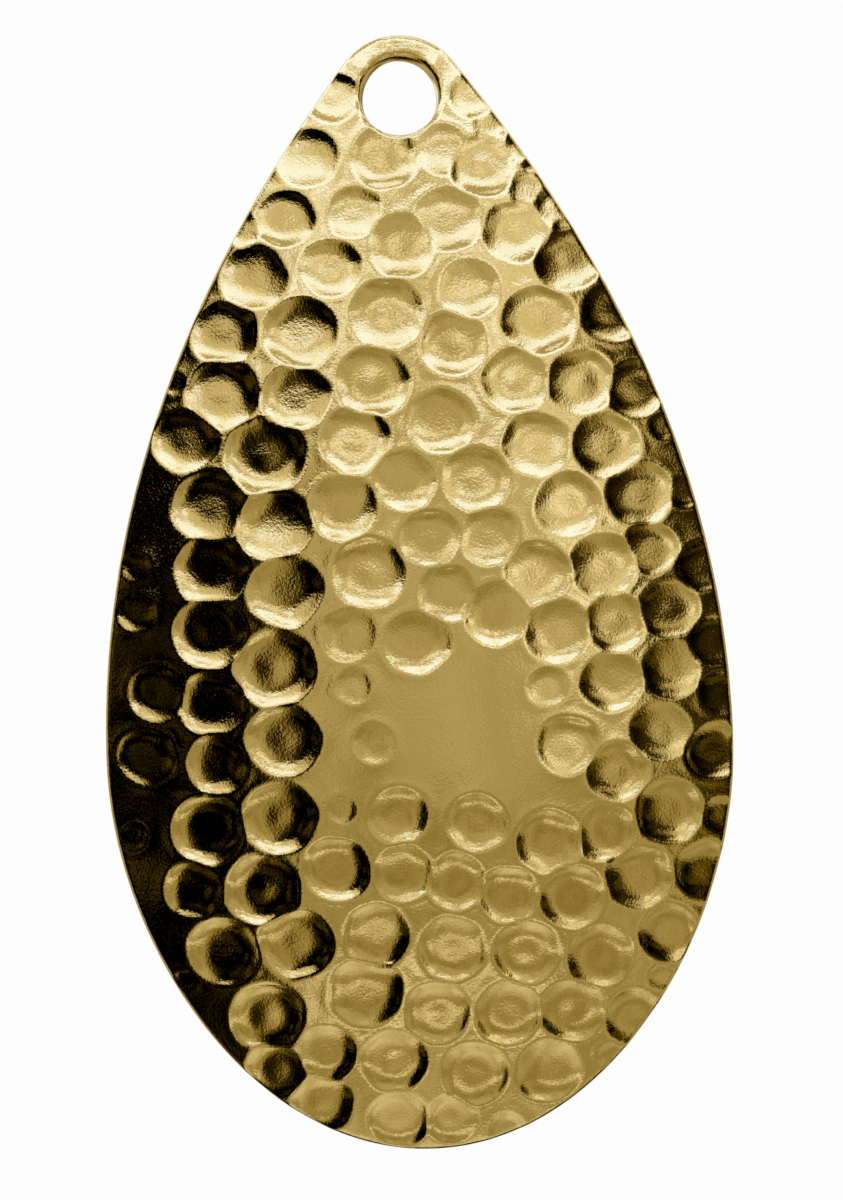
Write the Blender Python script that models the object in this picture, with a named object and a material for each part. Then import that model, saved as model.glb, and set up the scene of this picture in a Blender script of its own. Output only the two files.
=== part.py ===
"""A hammered teardrop lure blade, hung by its hole: one piece of brass sheet.

The long way is Z, with the hole up. The convex, hammered face looks along -Y.
The origin is the middle of the hole, half way through the sheet.
"""

import math

import bmesh
import bpy
from mathutils import Vector
from mathutils.geometry import delaunay_2d_cdt

MM = 0.001

# The blade, as it is seen square to its face.
BLADE_LENGTH = 35.0 * MM
BLADE_WIDTH = 19.8 * MM
WIDEST_BELOW_TOP = 22.4 * MM
DISH_DEPTH = 3.3 * MM

# The sheet that it is pressed from.
SHEET_THICKNESS = 0.64 * MM
EDGE_ROUNDING = 0.12 * MM

# The hole, and the metal left round it.
HOLE_DIAMETER = 2.5 * MM
METAL_ABOVE_HOLE = 0.70 * MM
NOSE_WALL = 0.98 * MM

# How full the outline is: the flank's angle where it leaves the nose, and the
# reach of each curve's handles as a share of that curve's height or width.
FLANK_ANGLE = math.radians(38)
FLANK_NOSE_REACH = 0.34
FLANK_BELLY_REACH = 0.40
TAIL_BELLY_REACH = 0.46
TAIL_END_REACH = 0.58

# The ball of the planishing hammer: the wider a strike, the deeper it went.
HAMMER_BALL_RADIUS = 4.2 * MM

# Strikes as (across, below the hole, radius), in mm on a blade of this size.
# On a blade of another size they spread out with it.
PLAN_WIDTH = 19.8
PLAN_LENGTH = 35.0
STRIKES = (
    (-0.9, -1.4, 0.5), (0.5, -1.5, 0.7), (-2.1, 0.0, 0.8), (2.3, 0.1, 0.7),
    (2.8, 1.0, 0.5), (3.7, 1.7, 0.4), (-2.9, 1.9, 0.9), (-0.5, 2.0, 1.0),
    (1.3, 1.8, 0.8), (2.5, 2.3, 1.0), (3.9, 3.1, 0.5), (4.7, 3.6, 0.6),
    (-4.9, 4.1, 0.5), (-3.7, 3.8, 0.9), (-1.5, 3.7, 0.8), (1.4, 4.0, 1.0),
    (3.5, 4.4, 1.0), (-0.1, 4.8, 1.0), (5.1, 5.3, 1.0), (-4.7, 5.6, 1.0),
    (-2.3, 5.4, 0.9), (2.0, 6.2, 0.9), (-5.7, 7.3, 1.0), (-3.3, 7.4, 1.1),
    (-0.6, 6.9, 1.1), (1.4, 7.9, 1.0), (4.1, 7.2, 1.1), (6.4, 7.0, 0.9),
    (-7.3, 8.8, 0.3), (-5.8, 9.2, 1.1), (-3.5, 9.4, 1.0), (-1.1, 9.0, 1.1),
    (3.3, 9.1, 1.0), (5.4, 9.2, 1.0), (7.1, 9.4, 0.9), (-7.0, 10.6, 1.0),
    (-4.5, 11.2, 1.2), (-1.7, 10.8, 1.0), (1.0, 10.3, 1.0), (3.9, 11.1, 1.0),
    (6.1, 11.2, 1.0), (7.9, 10.6, 0.4), (-0.2, 12.1, 0.9), (2.0, 12.1, 1.0),
    (8.5, 12.7, 0.5), (-6.3, 12.7, 1.1), (-4.3, 13.3, 1.1), (-2.1, 12.9, 1.0),
    (4.8, 13.0, 1.0), (7.1, 12.7, 1.0), (0.5, 13.9, 0.9), (2.4, 13.9, 0.9),
    (7.4, 14.4, 0.8), (-8.7, 14.5, 0.4), (-6.3, 14.7, 1.1), (-4.0, 15.4, 1.1),
    (-1.4, 14.9, 1.1), (3.8, 15.1, 1.0), (5.9, 14.9, 1.0), (9.0, 15.0, 0.8),
    (1.0, 15.6, 0.9), (-8.7, 15.9, 0.6), (-6.4, 16.6, 1.1), (-4.4, 17.8, 1.2),
    (-2.1, 16.8, 0.8), (0.0, 17.1, 1.0), (2.5, 16.3, 1.0), (4.4, 16.9, 1.0),
    (6.2, 16.7, 0.9), (7.9, 16.3, 0.9), (9.3, 17.3, 0.8), (-8.1, 18.4, 0.9),
    (-6.4, 18.8, 1.0), (-2.0, 18.4, 0.5), (4.0, 18.6, 0.6), (6.0, 18.5, 0.9),
    (7.9, 18.2, 0.9), (9.5, 19.0, 0.7), (-8.5, 20.4, 0.9), (-6.3, 20.7, 0.9),
    (-4.2, 20.0, 1.1), (-1.4, 20.2, 0.6), (4.6, 20.4, 0.9), (6.1, 21.3, 0.9),
    (7.5, 20.1, 0.9), (9.2, 20.8, 0.9), (-9.0, 22.9, 0.4), (-6.6, 22.7, 1.1),
    (-4.4, 22.4, 1.1), (-2.5, 22.2, 0.4), (-0.7, 22.4, 0.9), (1.7, 22.7, 0.9),
    (3.9, 23.4, 1.0), (5.7, 23.2, 0.9), (7.7, 22.6, 1.0), (9.4, 22.8, 0.6),
    (-7.2, 24.6, 0.9), (-5.0, 24.6, 1.1), (-2.7, 24.0, 1.0), (-0.6, 24.2, 0.9),
    (1.0, 24.5, 0.9), (2.6, 25.0, 0.9), (4.6, 25.1, 1.0), (6.7, 24.6, 1.0),
    (8.8, 24.5, 0.9), (-7.6, 27.4, 0.3), (-6.3, 26.5, 1.1), (-4.0, 26.3, 1.1),
    (-1.5, 26.1, 1.0), (0.8, 26.6, 1.0), (3.1, 26.8, 1.0), (5.4, 27.0, 1.0),
    (7.6, 26.4, 0.9), (-5.0, 28.6, 1.1), (-1.9, 27.9, 1.1), (0.3, 28.6, 1.0),
    (2.5, 28.7, 1.0), (4.5, 28.7, 1.0), (6.4, 29.0, 0.9), (7.4, 27.8, 0.4),
    (-4.8, 30.3, 0.9), (-3.2, 29.8, 0.9), (-1.1, 30.1, 1.0), (1.4, 30.6, 1.0),
    (3.7, 30.6, 1.0), (5.7, 30.2, 0.4), (-3.4, 31.4, 0.9), (-1.0, 32.0, 0.9),
    (0.6, 32.0, 0.8), (2.3, 32.4, 0.5),
)

# How finely the solid follows the curves.
MESH_PITCH = 0.60 * MM
EDGE_CLEARANCE = 0.6 * MESH_PITCH
FEWEST_STEPS = 4
HOLE_SIDES = 24
ROUNDING_STEPS = 2
POINT_MERGE = 0.0001 * MM

# Corners sharper than the first are rounded; creases sharper than the second are shaded crisp.
ROUNDED_CORNER = math.radians(60)
CRISP_CREASE = math.radians(40)

# Heights that follow from the sizes, measured from the middle of the hole.
HOLE_RADIUS = HOLE_DIAMETER / 2
TOP = HOLE_RADIUS + METAL_ABOVE_HOLE
WIDEST = TOP - WIDEST_BELOW_TOP
TAIL = TOP - BLADE_LENGTH
HALF_WIDTH = BLADE_WIDTH / 2
NOSE_RADIUS = HOLE_RADIUS + NOSE_WALL


def clear_scene():
    for old in list(bpy.data.objects):
        bpy.data.objects.remove(old, do_unlink=True)


def bezier(start, leave, arrive, end):
    """Points along a cubic curve, without its last, about one pitch apart."""
    count = max(FEWEST_STEPS, round((end - start).length / MESH_PITCH))
    points = []
    for step in range(count):
        t = step / count
        s = 1 - t
        points.append(s**3 * start + 3 * s * s * t * leave + 3 * s * t * t * arrive + t**3 * end)
    return points


def right_side():
    """The outline's right half as (across, up), from the top of the nose to the tail."""
    nose_centre = Vector((0, TOP - NOSE_RADIUS))
    turn = math.pi / 2 - FLANK_ANGLE
    steps = max(FEWEST_STEPS, round(turn * NOSE_RADIUS / MESH_PITCH))
    points = []
    for step in range(steps):
        angle = turn * step / steps
        points.append(nose_centre + NOSE_RADIUS * Vector((math.sin(angle), math.cos(angle))))
    shoulder = nose_centre + NOSE_RADIUS * Vector((math.sin(turn), math.cos(turn)))
    belly = Vector((HALF_WIDTH, WIDEST))
    tail = Vector((0, TAIL))
    flank_height = shoulder.y - belly.y
    tail_height = belly.y - tail.y
    down_flank = Vector((math.sin(FLANK_ANGLE), -math.cos(FLANK_ANGLE)))
    points += bezier(
        shoulder,
        shoulder + FLANK_NOSE_REACH * flank_height * down_flank,
        belly + Vector((0, FLANK_BELLY_REACH * flank_height)),
        belly,
    )
    points += bezier(
        belly,
        belly - Vector((0, TAIL_BELLY_REACH * tail_height)),
        tail + Vector((TAIL_END_REACH * HALF_WIDTH, 0)),
        tail,
    )
    points.append(tail)
    return points


RIGHT_SIDE = right_side()


def outline_loop():
    left = [Vector((-p.x, p.y)) for p in RIGHT_SIDE[-2:0:-1]]
    return RIGHT_SIDE + left


def hole_loop():
    loop = []
    for side in range(HOLE_SIDES):
        angle = 2 * math.pi * side / HOLE_SIDES
        loop.append(HOLE_RADIUS * Vector((math.cos(angle), math.sin(angle))))
    return loop


def half_width_at(height):
    """Half of the outline's width at a height, straight between its points."""
    for upper, lower in zip(RIGHT_SIDE, RIGHT_SIDE[1:]):
        if lower.y <= height <= upper.y:
            share = (upper.y - height) / (upper.y - lower.y)
            return upper.x + share * (lower.x - upper.x)
    return 0.0


def dish_height(across, height):
    """How far the smooth dish stands in front of the flat of its rim."""
    reach = TOP - WIDEST if height > WIDEST else WIDEST - TAIL
    crown = DISH_DEPTH * max(0.0, 1 - ((height - WIDEST) / reach) ** 2)
    half = half_width_at(height)
    if half == 0:
        return 0.0
    return crown * max(0.0, 1 - (across / half) ** 2)


def strike_depth(across, height):
    """How deep the deepest strike over this point is."""
    deepest = 0.0
    for plan_across, plan_below, plan_radius in STRIKES:
        x = plan_across / PLAN_WIDTH * BLADE_WIDTH
        z = -plan_below / PLAN_LENGTH * BLADE_LENGTH
        radius = plan_radius * MM
        off = (across - x) ** 2 + (height - z) ** 2
        deepest = max(deepest, (radius**2 - off) / (2 * HAMMER_BALL_RADIUS))
    return deepest


def front_y(across, height):
    """Where the front face lies, with the sheet's middle at y = 0 at the hole."""
    at_hole = dish_height(0, 0) + SHEET_THICKNESS / 2
    return at_hole - SHEET_THICKNESS - dish_height(across, height) + strike_depth(across, height)


def clear_of(point, loop):
    """Whether the point keeps its distance from every stretch of the loop."""
    for start, end in zip(loop, loop[1:] + loop[:1]):
        run = end - start
        share = min(1.0, max(0.0, (point - start).dot(run) / run.length_squared))
        if (point - start - share * run).length < EDGE_CLEARANCE:
            return False
    return True


def inner_points(outline, hole):
    """A triangular grid of points over the blade, clear of its edge and its hole."""
    row_step = MESH_PITCH * math.sqrt(3) / 2
    rows = math.ceil((TOP - TAIL) / row_step)
    columns = math.ceil(HALF_WIDTH / MESH_PITCH)
    points = []
    for row in range(rows):
        height = TOP - row * row_step
        half = half_width_at(height)
        for column in range(-columns, columns + 1):
            point = Vector(((column + row % 2 / 2) * MESH_PITCH, height))
            inside = abs(point.x) < half and point.length > HOLE_RADIUS
            if inside and clear_of(point, outline) and clear_of(point, hole):
                points.append(point)
    return points


def loop_edges(first, count):
    return [(first + i, first + (i + 1) % count) for i in range(count)]


def blade_skin():
    """The front face: the flat blank with its hole, then dished and hammered."""
    outline = outline_loop()
    hole = hole_loop()
    points = outline + hole + inner_points(outline, hole)
    edges = loop_edges(0, len(outline)) + loop_edges(len(outline), len(hole))
    inside_the_loops = 1
    flat, _, faces, *_ = delaunay_2d_cdt(points, edges, [], inside_the_loops, POINT_MERGE)
    shape = bmesh.new()
    verts = [shape.verts.new((p.x, 0, p.y)) for p in flat]
    for face in faces:
        shape.faces.new([verts[i] for i in face])
    slug = [f for f in shape.faces if f.calc_center_median().length < HOLE_RADIUS]
    bmesh.ops.delete(shape, geom=slug, context="FACES")
    bmesh.ops.recalc_face_normals(shape, faces=shape.faces)
    if sum(face.normal.y for face in shape.faces) > 0:
        bmesh.ops.reverse_faces(shape, faces=shape.faces)
    for vert in shape.verts:
        vert.co.y = front_y(vert.co.x, vert.co.z)
    mesh = bpy.data.meshes.new("hammered_blade")
    shape.to_mesh(mesh)
    shape.free()
    return mesh


def polished_brass():
    """Lacquered brass, polished to a mirror."""
    material = bpy.data.materials.new("polished_brass")
    material.use_nodes = True
    shader = material.node_tree.nodes["Principled BSDF"]
    shader.inputs["Base Color"].default_value = (0.80, 0.60, 0.22, 1)
    shader.inputs["Metallic"].default_value = 1.0
    shader.inputs["Roughness"].default_value = 0.08
    return material


def hammered_blade():
    mesh = blade_skin()
    mesh.materials.append(polished_brass())
    blade = bpy.data.objects.new("hammered_blade", mesh)
    bpy.context.scene.collection.objects.link(blade)
    sheet = blade.modifiers.new("Sheet thickness", "SOLIDIFY")
    sheet.thickness = SHEET_THICKNESS
    sheet.offset = -1
    rounding = blade.modifiers.new("Rounded edges", "BEVEL")
    rounding.width = EDGE_ROUNDING
    rounding.segments = ROUNDING_STEPS
    rounding.limit_method = "ANGLE"
    rounding.angle_limit = ROUNDED_CORNER
    mesh.shade_smooth()
    mesh.set_sharp_from_angle(angle=CRISP_CREASE)
    return blade


clear_scene()
hammered_blade()
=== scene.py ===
import math
import random

import bmesh
import bpy
import numpy as np
from mathutils import Matrix, Vector, noise
from mathutils.kdtree import KDTree


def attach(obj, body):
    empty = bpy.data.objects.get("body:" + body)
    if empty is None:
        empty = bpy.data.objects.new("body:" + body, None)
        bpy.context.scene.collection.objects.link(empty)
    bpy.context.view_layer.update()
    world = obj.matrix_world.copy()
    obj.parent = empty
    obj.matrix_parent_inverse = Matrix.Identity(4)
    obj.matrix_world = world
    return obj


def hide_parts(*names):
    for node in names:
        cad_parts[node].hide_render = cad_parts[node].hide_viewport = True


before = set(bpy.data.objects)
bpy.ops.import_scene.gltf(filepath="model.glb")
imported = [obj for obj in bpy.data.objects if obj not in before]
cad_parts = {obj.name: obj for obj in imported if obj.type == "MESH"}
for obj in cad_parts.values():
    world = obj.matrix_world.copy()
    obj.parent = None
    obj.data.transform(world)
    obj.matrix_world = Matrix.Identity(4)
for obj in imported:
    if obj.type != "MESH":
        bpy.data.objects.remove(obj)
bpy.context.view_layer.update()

mm = 0.001
tiny = 1e-6

# the blade in millimetres, from the middle of its hole: x across, z up, and the hammered face towards -y
blade = {
    "length": 35.0,
    "width": 19.8,
    "widestBelowTop": 22.4,
    "dishDepth": 3.3,
    "thickness": 0.64,
    "holeDiameter": 2.5,
    "metalAboveHole": 0.70,
    "noseWall": 0.98,
    "flankAngle": 38.0,                          # degrees, from the centre line to the flank at the nose
    "flankReach": (0.34, 0.40),                  # handles of the flank's curve, as shares of its height
    "tailReach": (0.46, 0.58),                   # the same for the tail's, of its height and half width
    "edgeRound": (0.20, 0.12),                   # the edge is tumbled: radius at the front and the back
    "bands": (0.0, 0.012, 0.035, 0.07, 0.12, 0.18),  # distance of each ring of the mesh from the edge
    "fillWidth": (0.04, 0.33),                   # triangles past the bands: at least this, or of the pitch
    "slopeStep": 0.01,
    "noseSteps": 200,
    "curveSteps": 1500,
    "outlineSegments": 900,
    "holeSegments": 112,
    "frontPitch": 0.092,                         # mesh width: the struck face needs the finer one
    "backPitch": 0.22,
}

# the hammering, in millimetres
hammer = {
    "ballRadius": 3.6,                           # a wider strike went deeper
    "tailDepth": 1.50,                           # strikes below the widest line were harder
    "floorPower": (2.5, 4.0),                    # 2 is a ball's own hollow; more has a flatter floor
    "tilt": 0.065,                               # strikes land a little off square
    "crest": 0.25,                               # how much of its depth a strike's floor may swell back
    "crestWidth": 0.42,
    "lipHeight": 0.020,                          # metal that each strike pushes up round its rim
    "lipWidth": 0.085,
    "spread": (1.04, 0.98),                      # strikes are a touch wider than tall
    "wobble": 0.09,                              # how far a strike's rim wanders from a true circle
    "wobblePitch": 0.8,
    "wobbleSeed": 3.7,
    "showThrough": 0.75,                         # height of the bumps on the back, against the strikes
    "backSpread": 1.12,
    "peelHeight": 0.0026,                        # orange peel that polishing leaves
    "peelPitch": 0.36,
    "peelSeed": 8.1,
    "seed": 12,
    # across, below the hole, radius
    "strikes": (
        (-0.9, -1.4, 0.5), (0.5, -1.5, 0.7), (-2.1, 0.0, 0.8), (2.3, 0.1, 0.7),
        (2.8, 1.0, 0.5), (3.7, 1.7, 0.4), (-2.9, 1.9, 0.9), (-0.5, 2.0, 1.0),
        (1.3, 1.8, 0.8), (2.5, 2.3, 1.0), (3.9, 3.1, 0.5), (4.7, 3.6, 0.6),
        (-4.9, 4.1, 0.5), (-3.7, 3.8, 0.9), (-1.5, 3.7, 0.8), (1.4, 4.0, 1.0),
        (3.5, 4.4, 1.0), (-0.1, 4.8, 1.0), (5.1, 5.3, 1.0), (-4.7, 5.6, 1.0),
        (-2.3, 5.4, 0.9), (2.0, 6.2, 0.9), (-5.7, 7.3, 1.0), (-3.3, 7.4, 1.1),
        (-0.6, 6.9, 1.1), (1.4, 7.9, 1.0), (4.1, 7.2, 1.1), (6.4, 7.0, 0.9),
        (-7.3, 8.8, 0.3), (-5.8, 9.2, 1.1), (-3.5, 9.4, 1.0), (-1.1, 9.0, 1.1),
        (3.3, 9.1, 1.0), (5.4, 9.2, 1.0), (7.1, 9.4, 0.9), (-7.0, 10.6, 1.0),
        (-4.5, 11.2, 1.2), (-1.7, 10.8, 1.0), (1.0, 10.3, 1.0), (3.9, 11.1, 1.0),
        (6.1, 11.2, 1.0), (7.9, 10.6, 0.4), (-0.2, 12.1, 0.9), (2.0, 12.1, 1.0),
        (8.5, 12.7, 0.5), (-6.3, 12.7, 1.1), (-4.3, 13.3, 1.1), (-2.1, 12.9, 1.0),
        (4.8, 13.0, 1.0), (7.1, 12.7, 1.0), (0.5, 13.9, 0.9), (2.4, 13.9, 0.9),
        (7.4, 14.4, 0.8), (-8.7, 14.5, 0.4), (-6.3, 14.7, 1.1), (-4.0, 15.4, 1.1),
        (-1.4, 14.9, 1.1), (3.8, 15.1, 1.0), (5.9, 14.9, 1.0), (9.0, 15.0, 0.8),
        (1.0, 15.6, 0.9), (-8.7, 15.9, 0.6), (-6.4, 16.6, 1.1), (-4.4, 17.8, 1.2),
        (-2.1, 16.8, 0.8), (0.0, 17.1, 1.0), (2.5, 16.3, 1.0), (4.4, 16.9, 1.0),
        (6.2, 16.7, 0.9), (7.9, 16.3, 0.9), (9.3, 17.3, 0.8), (-8.1, 18.4, 0.9),
        (-6.4, 18.8, 1.0), (-2.0, 18.4, 0.5), (4.0, 18.6, 0.6), (6.0, 18.5, 0.9),
        (7.9, 18.2, 0.9), (9.5, 19.0, 0.7), (-8.5, 20.4, 0.9), (-6.3, 20.7, 0.9),
        (-4.2, 20.0, 1.1), (-1.4, 20.2, 0.6), (4.6, 20.4, 0.9), (6.1, 21.3, 0.9),
        (7.5, 20.1, 0.9), (9.2, 20.8, 0.9), (-9.0, 22.9, 0.4), (-6.6, 22.7, 1.1),
        (-4.4, 22.4, 1.1), (-2.5, 22.2, 0.4), (-0.7, 22.4, 0.9), (1.7, 22.7, 0.9),
        (3.9, 23.4, 1.0), (5.7, 23.2, 0.9), (7.7, 22.6, 1.0), (9.4, 22.8, 0.6),
        (-7.2, 24.6, 0.9), (-5.0, 24.6, 1.1), (-2.7, 24.0, 1.0), (-0.6, 24.2, 0.9),
        (1.0, 24.5, 0.9), (2.6, 25.0, 0.9), (4.6, 25.1, 1.0), (6.7, 24.6, 1.0),
        (8.8, 24.5, 0.9), (-7.6, 27.4, 0.3), (-6.3, 26.5, 1.1), (-4.0, 26.3, 1.1),
        (-1.5, 26.1, 1.0), (0.8, 26.6, 1.0), (3.1, 26.8, 1.0), (5.4, 27.0, 1.0),
        (7.6, 26.4, 0.9), (-5.0, 28.6, 1.1), (-1.9, 27.9, 1.1), (0.3, 28.6, 1.0),
        (2.5, 28.7, 1.0), (4.5, 28.7, 1.0), (6.4, 29.0, 0.9), (7.4, 27.8, 0.4),
        (-4.8, 30.3, 0.9), (-3.2, 29.8, 0.9), (-1.1, 30.1, 1.0), (1.4, 30.6, 1.0),
        (3.7, 30.6, 1.0), (5.7, 30.2, 0.4), (-3.4, 31.4, 0.9), (-1.0, 32.0, 0.9),
        (0.6, 32.0, 0.8), (2.3, 32.4, 0.5),
    ),
    # nicks that the hammer's edge left by the right shoulder
    "nickRadius": 0.9,
    "nicks": (
        (2.35, -0.75, 0.22), (2.75, -0.35, 0.17), (2.05, -0.35, 0.15), (3.15, 0.35, 0.18),
        (3.0, 1.55, 0.20), (3.35, 2.05, 0.24), (4.05, 2.35, 0.18), (4.55, 2.95, 0.20),
        (2.5, 1.75, 0.16), (4.95, 4.25, 0.22),
    ),
}

holeRadius = blade["holeDiameter"] / 2
topZ = holeRadius + blade["metalAboveHole"]
tailZ = topZ - blade["length"]
widestZ = topZ - blade["widestBelowTop"]
halfWidth = blade["width"] / 2


def linear(hexColour, alpha=1.0):
    channels = [int(hexColour[i:i + 2], 16) / 255 for i in (1, 3, 5)]
    return [c / 12.92 if c <= 0.04045 else ((c + 0.055) / 1.055) ** 2.4 for c in channels] + [alpha]


def addNode(tree, kind, inputs=None, **settings):
    node = tree.nodes.new(kind)
    for name, value in settings.items():
        setattr(node, name, value)
    for name, value in (inputs or {}).items():
        if isinstance(value, bpy.types.NodeSocket):
            tree.links.new(value, node.inputs[name])
        else:
            node.inputs[name].default_value = value
    return node


def curve(start, leave, arrive, end):
    t = np.linspace(0, 1, blade["curveSteps"])[:, None]
    s = 1 - t
    return s**3 * start + 3 * s * s * t * leave + 3 * s * t * t * arrive + t**3 * end


def rightSide():
    # the outline from the top of the nose, down its right side, to the tail
    noseRadius = holeRadius + blade["noseWall"]
    noseCentre = np.array([0, topZ - noseRadius])
    angle = math.radians(blade["flankAngle"])
    turn = np.linspace(0, math.pi / 2 - angle, blade["noseSteps"])[:, None]
    nose = noseCentre + noseRadius * np.hstack([np.sin(turn), np.cos(turn)])
    shoulder = nose[-1]
    belly = np.array([halfWidth, widestZ])
    tail = np.array([0, tailZ])
    flankHeight = shoulder[1] - widestZ
    tailHeight = widestZ - tailZ
    downFlank = np.array([math.sin(angle), -math.cos(angle)])
    leave = shoulder + blade["flankReach"][0] * flankHeight * downFlank
    arrive = belly + [0, blade["flankReach"][1] * flankHeight]
    flank = curve(shoulder, leave, arrive, belly)
    leave = belly - [0, blade["tailReach"][0] * tailHeight]
    arrive = tail + [blade["tailReach"][1] * halfWidth, 0]
    return np.vstack([nose, flank[1:], curve(belly, leave, arrive, tail)[1:]])


side = rightSide()


def outlinePoints(count):
    closed = np.vstack([side, side[-2::-1] * [-1, 1]])
    run = np.append(0, np.cumsum(np.linalg.norm(np.diff(closed, axis=0), axis=1)))
    where = np.arange(count) / count * run[-1]
    return np.stack([np.interp(where, run, closed[:, 0]), np.interp(where, run, closed[:, 1])], axis=1)


def halfWidthSquared(z):
    return np.interp(z, side[::-1, 1], side[::-1, 0] ** 2)  # its square runs straight into each tip


def dishY(x, z):
    reach = np.where(z > widestZ, topZ - widestZ, widestZ - tailZ)
    crown = blade["dishDepth"] * (1 - ((z - widestZ) / reach) ** 2)
    return -crown * (1 - x**2 / np.maximum(halfWidthSquared(z), tiny))


def dishNormal(x, z):
    step = blade["slopeStep"]
    low = np.maximum(z - step, tailZ)
    high = np.minimum(z + step, topZ)
    slopeX = (dishY(x + step, z) - dishY(x - step, z)) / (2 * step)
    slopeZ = (dishY(x, high) - dishY(x, low)) / (high - low)
    normal = np.stack([slopeX, -np.ones_like(x), slopeZ], axis=1)
    return normal / np.linalg.norm(normal, axis=1, keepdims=True)


def wander(x, z, pitch, seed):
    return np.array([noise.noise_vector(Vector((a / pitch, seed, b / pitch))) for a, b in zip(x, z)])


def strikeRelief(x, z):
    # hollows are positive; the lips round them, on metal that no strike reached, are negative
    draw = random.Random(hammer["seed"])
    deepest = np.zeros_like(x)
    lip = np.zeros_like(x)
    balls = [(strike, hammer["ballRadius"]) for strike in hammer["strikes"]]
    balls += [(nick, hammer["nickRadius"]) for nick in hammer["nicks"]]
    for (across, below, radius), ball in balls:
        power = draw.uniform(*hammer["floorPower"])
        tiltX, tiltZ = (draw.uniform(-1, 1) * hammer["tilt"] for _ in range(2))
        offX = (x - across) / hammer["spread"][0]
        offZ = (z + below) / hammer["spread"][1]
        share = np.sqrt(offX**2 + offZ**2) / radius
        middle = radius**2 / (2 * ball) * (hammer["tailDepth"] if -below < widestZ else 1)
        depth = middle * (1 - share**power)
        rise = draw.uniform(0, hammer["crest"]) * middle
        depth -= rise * np.exp(-((share / hammer["crestWidth"]) ** 2))
        depth += (tiltX * offX + tiltZ * offZ) * np.maximum(0, 1 - share**2)
        deepest = np.maximum(deepest, depth)
        out = np.maximum(0, share - 1) * radius / hammer["lipWidth"]
        lip = np.maximum(lip, out * np.exp(1 - out))
    return np.where(deepest > 0, deepest, -hammer["lipHeight"] * lip)


def bumpHeight(x, z):
    height = np.zeros_like(x)
    for across, below, radius in hammer["strikes"]:
        off = ((x - across) ** 2 + (z + below) ** 2) / (radius * hammer["backSpread"]) ** 2
        height += radius**2 / (2 * hammer["ballRadius"]) * np.maximum(0, 1 - off) ** 2
    return hammer["showThrough"] * height


def openEdges(bm):
    return [e for e in bm.edges if len(e.link_faces) == 1]


def openLoops(bm):
    # the open edges in closed runs, highest first; a dictionary keeps them in the same order on each run
    loose = dict.fromkeys(openEdges(bm))
    loops = []
    while loose:
        loop = [loose.popitem()[0]]
        for edge in loop:                        # grows as its neighbours join it
            joined = [e for v in edge.verts for e in v.link_edges if e in loose]
            for neighbour in joined:
                del loose[neighbour]
            loop += joined
        loops.append(loop)
    return sorted(loops, key=lambda loop: max(v.co.z for e in loop for v in e.verts), reverse=True)


def insetBands(bm, verts, bands):
    # rings of mesh that follow an edge; the last face is opened
    rimDistance = bm.verts.layers.float["rimDistance"]
    face = verts[0].link_faces[0]
    face.normal_update()
    for vert in verts:
        vert[rimDistance] = bands[0]
    for last, band in zip(bands, bands[1:]):
        bmesh.ops.inset_individual(bm, faces=[face], thickness=abs(band - last), use_even_offset=True)
        for vert in face.verts:
            vert[rimDistance] = band
    bmesh.ops.delete(bm, geom=[face], context="FACES_ONLY")


def addBlank(bm, pitch, y):
    # the flat blank: bands along its edge and its hole, a square grid, and triangles between to join them
    old = set(bm.verts)
    rimDistance = bm.verts.layers.float["rimDistance"]
    bands = blade["bands"]
    edge = bmesh.ops.create_circle(bm, cap_ends=True, segments=blade["outlineSegments"], radius=1)["verts"]
    nearEdge = KDTree(len(edge))
    for i, (vert, (x, z)) in enumerate(zip(edge, outlinePoints(len(edge)))):
        vert.co = (x, 0, z)
        nearEdge.insert(vert.co, i)
    nearEdge.balance()
    insetBands(bm, edge, bands)
    upright = Matrix.Rotation(math.pi / 2, 4, "X")
    hole = bmesh.ops.create_circle(
        bm, cap_ends=True, segments=blade["holeSegments"],
        radius=holeRadius + bands[-1], matrix=upright)["verts"]
    insetBands(bm, hole, bands[::-1])

    columns = math.ceil(blade["width"] / pitch)
    rows = math.ceil(blade["length"] / pitch)
    grid = bmesh.ops.create_grid(bm, x_segments=columns, y_segments=rows, size=1)["verts"]
    least, share = blade["fillWidth"]
    clear = bands[-1] + max(least, share * pitch)
    outside = []
    for vert in grid:
        vert.co = (vert.co.x * halfWidth, 0, (topZ + tailZ) / 2 + vert.co.y * blade["length"] / 2)
        vert[rimDistance] = blade["width"]
        inOutline = vert.co.x**2 < halfWidthSquared(vert.co.z)
        if not inOutline or nearEdge.find(vert.co)[2] < clear or vert.co.length < holeRadius + clear:
            outside.append(vert)
    bmesh.ops.delete(bm, geom=outside, context="VERTS")
    stray = [v for v in bm.verts if not v.link_faces]
    bmesh.ops.delete(bm, geom=stray, context="VERTS")
    gap = [e for e in openEdges(bm) if min(v[rimDistance] for v in e.verts) > bands[-2]]
    bmesh.ops.triangle_fill(bm, use_beauty=True, use_dissolve=False, edges=gap, normal=(0, -1, 0))
    bmesh.ops.translate(bm, verts=[v for v in bm.verts if v not in old], vec=(0, y, 0))


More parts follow.
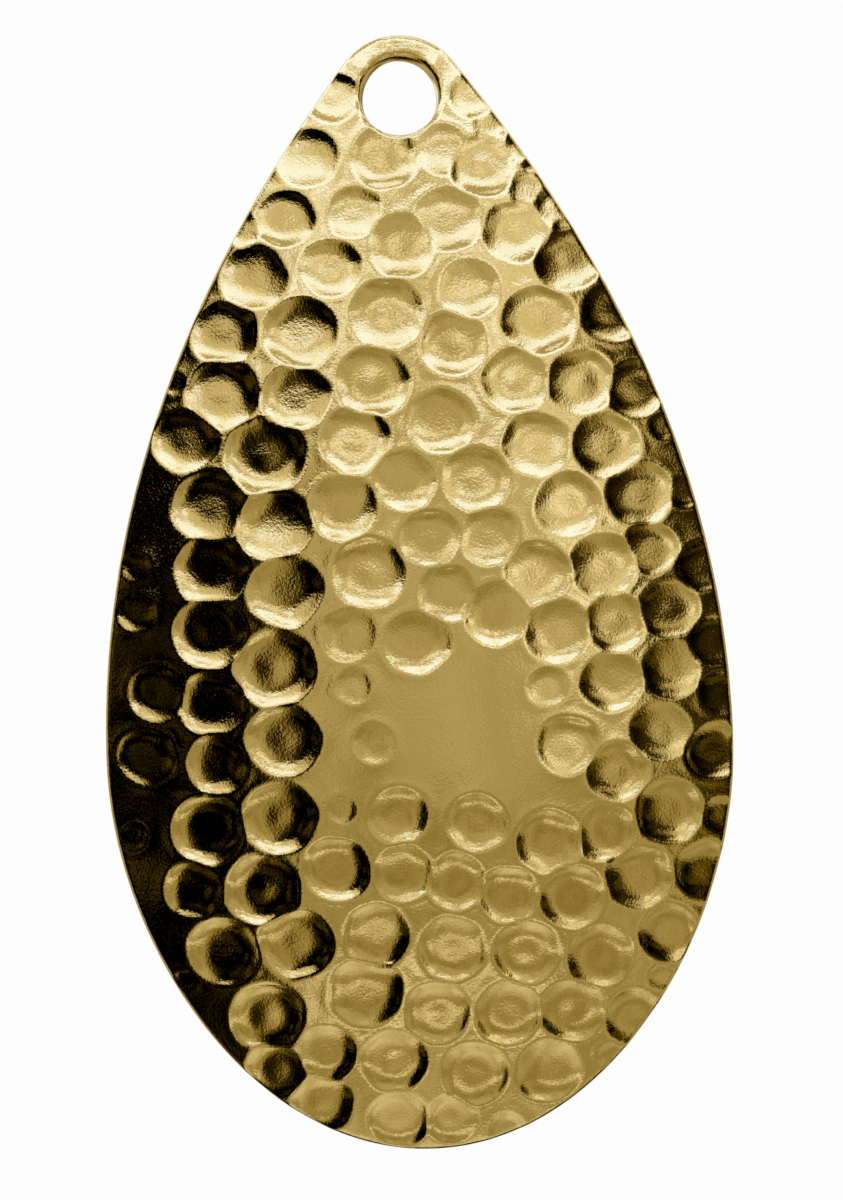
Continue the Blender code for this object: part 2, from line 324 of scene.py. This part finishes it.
def hammeredBlade():
    bm = bmesh.new()
    for layer in ("rimDistance", "strikeHollow"):
        bm.verts.layers.float.new(layer)
    addBlank(bm, blade["frontPitch"], 0)
    addBlank(bm, blade["backPitch"], blade["thickness"])
    outlineFront, outlineBack, holeFront, holeBack = openLoops(bm)
    bmesh.ops.bridge_loops(bm, edges=outlineFront + outlineBack)
    bmesh.ops.bridge_loops(bm, edges=holeFront + holeBack)
    print("blank:", len(bm.verts), "points")

    rimDistance = bm.verts.layers.float["rimDistance"]
    hollow = bm.verts.layers.float["strikeHollow"]
    verts = bm.verts[:]
    x, y, z = np.array([v.co for v in verts]).T
    isBack = y > blade["thickness"] / 2
    fromRim = np.array([v[rimDistance] for v in verts])
    noise.seed_set(hammer["seed"])               # Blender's noise starts from the clock otherwise
    drift = wander(x, z, hammer["wobblePitch"], hammer["wobbleSeed"]) * hammer["wobble"]
    peel = wander(x, z, hammer["peelPitch"], hammer["peelSeed"])[:, 0] * hammer["peelHeight"]
    dent = strikeRelief(x + drift[:, 0], z + drift[:, 2])
    bump = bumpHeight(x + drift[:, 0], z + drift[:, 2])
    frontRound, backRound = blade["edgeRound"]
    frontDrop = frontRound - np.sqrt(frontRound**2 - np.maximum(0, frontRound - fromRim) ** 2)
    backDrop = backRound - np.sqrt(backRound**2 - np.maximum(0, backRound - fromRim) ** 2)
    inward = np.where(isBack, blade["thickness"] + bump - backDrop, frontDrop) + peel
    # the middle of the sheet is at y 0, where the hole goes through it
    atHole = dishY(np.zeros(1), np.zeros(1))[0]
    place = np.stack([x, dishY(x, z) - atHole - blade["thickness"] / 2, z], axis=1)
    normal = dishNormal(x, z)
    place -= inward[:, None] * normal
    # strikes sink straight back, so the outline stays true
    place[:, 1] -= np.where(isBack, 0, dent / normal[:, 1])
    widestStrike = max(radius for _, _, radius in hammer["strikes"])
    fullDepth = widestStrike**2 / (2 * hammer["ballRadius"])
    for vert, at, depth in zip(verts, place, dent):
        vert.co = at
        vert[hollow] = max(0, depth / fullDepth)
    bmesh.ops.recalc_face_normals(bm, faces=bm.faces)
    bmesh.ops.scale(bm, vec=(mm, mm, mm), verts=bm.verts)
    mesh = bpy.data.meshes.new("hammeredBlade")
    bm.to_mesh(mesh)
    bm.free()
    mesh.shade_smooth()
    piece = bpy.data.objects.new("hammeredBlade", mesh)
    bpy.context.scene.collection.objects.link(piece)
    print("blade:", len(mesh.polygons), "faces")
    return piece


# polished brass
brass = {
    "colour": "#F3D386",
    "tarnish": "#E2BC66",                        # deeper where the buff didn't reach, in the strikes
    "roughness": (0.03, 0.08),
    "buffGrain": 0.085,                          # millimetres
    "buffDepth": 0.0068,
    "buffDetail": 2.0,
    "buffRoughness": 0.55,
    "scratch": (0.03, 1.4),                      # its width and length: buffing runs lengthwise
    "scratchDetail": 1.0,
}


def polishedBrass():
    # brass sheet, buffed to a mirror after it was struck: deep yellow reflections with ragged edges
    material = bpy.data.materials.new("polishedBrass")
    material.use_nodes = True
    tree = material.node_tree
    shader = tree.nodes["Principled BSDF"]
    shader.inputs["Metallic"].default_value = 1.0
    place = addNode(tree, "ShaderNodeTexCoord").outputs["Object"]
    hollow = addNode(tree, "ShaderNodeAttribute", attribute_name="strikeHollow").outputs["Fac"]

    grain = addNode(tree, "ShaderNodeTexNoise", {
        "Vector": place, "Scale": 1 / (brass["buffGrain"] * mm),
        "Detail": brass["buffDetail"], "Roughness": brass["buffRoughness"]})
    fine, long = brass["scratch"]
    drawn = addNode(tree, "ShaderNodeMapping", {
        "Vector": place, "Scale": (1 / (fine * mm), 1 / (fine * mm), 1 / (long * mm))})
    scratches = addNode(tree, "ShaderNodeTexNoise", {
        "Vector": drawn.outputs["Vector"], "Scale": 1.0, "Detail": brass["scratchDetail"]})

    dull = addNode(tree, "ShaderNodeMath", {0: hollow, 1: grain.outputs["Fac"]}, operation="MULTIPLY")
    colour = addNode(tree, "ShaderNodeMix", {
        0: dull.outputs[0], 6: linear(brass["colour"]), 7: linear(brass["tarnish"])}, data_type="RGBA")
    low, high = brass["roughness"]
    gloss = addNode(tree, "ShaderNodeMapRange", {
        "Value": scratches.outputs["Fac"], "To Min": low, "To Max": high})
    relief = addNode(tree, "ShaderNodeBump", {
        "Height": grain.outputs["Fac"], "Strength": 1.0, "Distance": brass["buffDepth"] * mm})
    tree.links.new(colour.outputs[2], shader.inputs["Base Color"])
    tree.links.new(gloss.outputs["Result"], shader.inputs["Roughness"])
    tree.links.new(relief.outputs["Normal"], shader.inputs["Normal"])
    print("material:", material.name)
    return material


studio = {
    "camera": (0.2, -15.8),                      # where it looks, in millimetres from the hole
    "lens": 180.0,
    "frameHeight": 37.5,                         # millimetres that the picture takes in, at the blade
    "roll": 1.81,                                # degrees
    "floorBelowTail": 6.0,
    "floorRadius": 900.0,
    "floorSegments": 128,
    "paper": "#FDFDFD",
    "ripple": 0.06,                              # the panels' edges are a little crooked
    "rippleScale": 5.0,
    "rippleDetail": 2.0,
    "noiseMiddle": 0.5,                          # what noise comes to on average
    "unevenness": 0.20,
    "unevenScale": 4.5,
    "unevenDetail": 3.0,
    "unevenRange": (0.35, 0.65),
    "gloom": 0.08,                               # the most that the unlit side gives, in patches
    "gloomRange": (0.53, 0.70),
    # panels of light, each by the part of the direction it fills: across is x, behind is y, up is z;
    # a later panel covers an earlier one
    "panels": (
        {"across": (None, None), "behind": (0.15, None), "up": (-0.6, None), "soft": 0.12, "light": 0.40},
        {"across": (-0.62, 0.10), "behind": (0.20, None), "up": (-0.10, 0.62), "soft": 0.08, "light": 0.80},
        {"across": (0.28, 0.50), "behind": (0.20, None), "up": (-0.5, 0.8), "soft": 0.08, "light": 0.20},
        {"across": (-0.53, 0.84), "behind": (None, 0.2), "up": (None, 0.24), "soft": 0.06, "light": 0.41},
        {"across": (-0.53, 0.84), "behind": (None, 0.2), "up": (-0.86, -0.12), "soft": 0.11, "light": 0.34},
        {"across": (0.80, None), "behind": (None, 0.2), "up": (None, -0.38), "soft": 0.06, "light": 0.34},
        {"across": (-0.45, 0.60), "behind": (None, 0.2), "up": (0.05, 0.40), "soft": 0.07, "light": 0.47},
        {"across": (0.42, 0.86), "behind": (None, 0.2), "up": (0.00, 0.36), "soft": 0.05, "light": 0.54},
        {"across": (0.57, 0.77), "behind": (None, 0.2), "up": (0.10, 0.34), "soft": 0.04, "light": 0.80},
        {"across": (-0.44, 0.50), "behind": (None, 0.2), "up": (-0.67, -0.56), "soft": 0.03, "light": 0.74},
        {"across": (-0.55, 0.60), "behind": (None, 0.2), "up": (None, -0.86), "soft": 0.05, "light": 0.56},
        {"across": (0.79, 0.96), "behind": (None, 0.2), "up": (0.03, 0.20), "soft": 0.03, "light": 0.03},
        {"across": (-0.81, 0.77), "behind": (None, None), "up": (0.29, None), "soft": 0.045, "light": 0.45},
        {"across": (-0.80, 0.75), "behind": (None, None), "up": (0.31, 0.82), "soft": 0.05, "light": 0.59},
        {"across": (-0.60, 0.00), "behind": (None, None), "up": (0.33, 0.48), "soft": 0.05, "light": 0.88},
        {"across": (0.12, 0.70), "behind": (None, None), "up": (0.33, 0.45), "soft": 0.05, "light": 0.84},
        {"across": (-0.50, 0.55), "behind": (None, None), "up": (0.46, 0.53), "soft": 0.03, "light": 0.50},
        {"across": (-0.78, 0.70), "behind": (None, None), "up": (0.54, 0.80), "soft": 0.05, "light": 1.00},
        {"across": (-0.40, 0.40), "behind": (None, None), "up": (0.92, None), "soft": 0.02, "light": 0.92},
    ),
    # light given off at each level, from unlit brown to white
    "tints": (
        (0.0, (0.0, 0.0, 0.0)), (0.04, (0.041, 0.032, 0.003)), (0.12, (0.127, 0.098, 0.01)),
        (0.23, (0.246, 0.209, 0.062)), (0.37, (0.396, 0.373, 0.25)), (0.45, (0.477, 0.462, 0.363)),
        (0.64, (0.70, 0.718, 0.725)), (0.86, (1.0, 1.08, 1.25)), (1.0, (1.11, 1.46, 2.9)),
    ),
}


def setCamera():
    data = bpy.data.cameras.new("camera")
    data.lens = studio["lens"]
    distance = studio["frameHeight"] * data.lens / data.sensor_width
    camera = bpy.data.objects.new("camera", data)
    bpy.context.scene.collection.objects.link(camera)
    x, z = studio["camera"]
    upright = Matrix.Rotation(math.pi / 2, 4, "X")
    roll = Matrix.Rotation(math.radians(-studio["roll"]), 4, "Z")
    camera.matrix_world = Matrix.Translation(Vector((x, -distance, z)) * mm) @ upright @ roll
    data.clip_start = mm
    bpy.context.scene.camera = camera
    print("camera:", round(distance), "mm away")


def setWorld():
    # soft panels round the blade, by the direction they lie in; behind it, the camera sees white paper
    world = bpy.data.worlds.new("studio")
    bpy.context.scene.world = world
    world.use_nodes = True
    tree = world.node_tree
    tree.nodes.clear()
    way = addNode(tree, "ShaderNodeTexCoord").outputs["Generated"]
    ripple = addNode(tree, "ShaderNodeTexNoise", {
        "Vector": way, "Scale": studio["rippleScale"], "Detail": studio["rippleDetail"]})
    shift = addNode(tree, "ShaderNodeVectorMath", {
        0: ripple.outputs["Color"], 1: (studio["noiseMiddle"],) * 3}, operation="SUBTRACT")
    bent = addNode(tree, "ShaderNodeVectorMath", {
        0: shift.outputs["Vector"], 1: (studio["ripple"],) * 3, 2: way}, operation="MULTIPLY_ADD")
    axes = addNode(tree, "ShaderNodeSeparateXYZ", {"Vector": bent.outputs["Vector"]})
    patches = addNode(tree, "ShaderNodeTexNoise", {
        "Vector": way, "Scale": studio["unevenScale"], "Detail": studio["unevenDetail"]})
    low, high = studio["gloomRange"]
    gloom = addNode(tree, "ShaderNodeMapRange", {
        "Value": patches.outputs["Fac"], "From Min": low, "From Max": high, "To Max": studio["gloom"]})
    light = gloom.outputs["Result"]
    for panel in studio["panels"]:
        mask = 1.0
        for axis, edges in zip("XYZ", (panel["across"], panel["behind"], panel["up"])):
            for edge, inside in zip(edges, (1, -1)):
                if edge is None:
                    continue
                soft = panel["soft"] * inside
                step = addNode(tree, "ShaderNodeMapRange", {
                    "Value": axes.outputs[axis], "From Min": edge - soft, "From Max": edge + soft,
                }, interpolation_type="SMOOTHSTEP")
                both = addNode(tree, "ShaderNodeMath", {
                    0: step.outputs["Result"], 1: mask}, operation="MULTIPLY")
                mask = both.outputs[0]
        lit = addNode(tree, "ShaderNodeMix", {0: mask, 2: light, 3: panel["light"]})
        light = lit.outputs[0]
    low, high = studio["unevenRange"]
    uneven = addNode(tree, "ShaderNodeMapRange", {
        "Value": patches.outputs["Fac"], "From Min": low, "From Max": high,
        "To Min": 1 - studio["unevenness"], "To Max": 1 + studio["unevenness"]})
    dappled = addNode(tree, "ShaderNodeMath", {0: light, 1: uneven.outputs["Result"]}, operation="MULTIPLY")
    tint = addNode(tree, "ShaderNodeValToRGB", {"Fac": dappled.outputs[0]})
    elements = tint.color_ramp.elements
    for at, _ in studio["tints"][1:-1]:          # a new ramp has its two ends
        elements.new(at)
    for element, (_, colour) in zip(elements, studio["tints"]):
        element.color = (*colour, 1)
    path = addNode(tree, "ShaderNodeLightPath")
    room = addNode(tree, "ShaderNodeBackground", {"Color": tint.outputs["Color"], "Strength": 1.0})
    paper = addNode(tree, "ShaderNodeBackground", {"Color": linear(studio["paper"]), "Strength": 1.0})
    plain = addNode(tree, "ShaderNodeMath", {
        0: path.outputs["Is Camera Ray"], 1: path.outputs["Is Diffuse Ray"]}, operation="MAXIMUM")
    seen = addNode(tree, "ShaderNodeMixShader", {
        0: plain.outputs[0], 1: room.outputs["Background"], 2: paper.outputs["Background"]})
    addNode(tree, "ShaderNodeOutputWorld", {"Surface": seen.outputs["Shader"]})
    print("light:", len(studio["panels"]), "panels")


def setFloor():
    bm = bmesh.new()
    bmesh.ops.create_circle(
        bm, cap_ends=True, segments=studio["floorSegments"], radius=studio["floorRadius"] * mm)
    bmesh.ops.translate(bm, verts=bm.verts, vec=(0, 0, (tailZ - studio["floorBelowTail"]) * mm))
    mesh = bpy.data.meshes.new("floor")
    bm.to_mesh(mesh)
    bm.free()
    # paper lit from below, as bright as the backdrop, so that no edge of it shows
    material = bpy.data.materials.new("litPaper")
    material.use_nodes = True
    shader = material.node_tree.nodes["Principled BSDF"]
    shader.inputs["Base Color"].default_value = linear("#000000")
    shader.inputs["Roughness"].default_value = 1.0
    shader.inputs["Specular IOR Level"].default_value = 0.0
    shader.inputs["Emission Color"].default_value = linear(studio["paper"])
    shader.inputs["Emission Strength"].default_value = 1.0
    mesh.materials.append(material)
    floor = bpy.data.objects.new("floor", mesh)
    bpy.context.scene.collection.objects.link(floor)
    floor.visible_glossy = False
    print("floor:", studio["floorBelowTail"], "mm below the tail")


setCamera()
setWorld()
setFloor()
piece = hammeredBlade()
piece.data.materials.append(polishedBrass())
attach(piece, "root")
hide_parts("hammered_blade")
bpy.context.scene.view_settings.view_transform = "Standard"
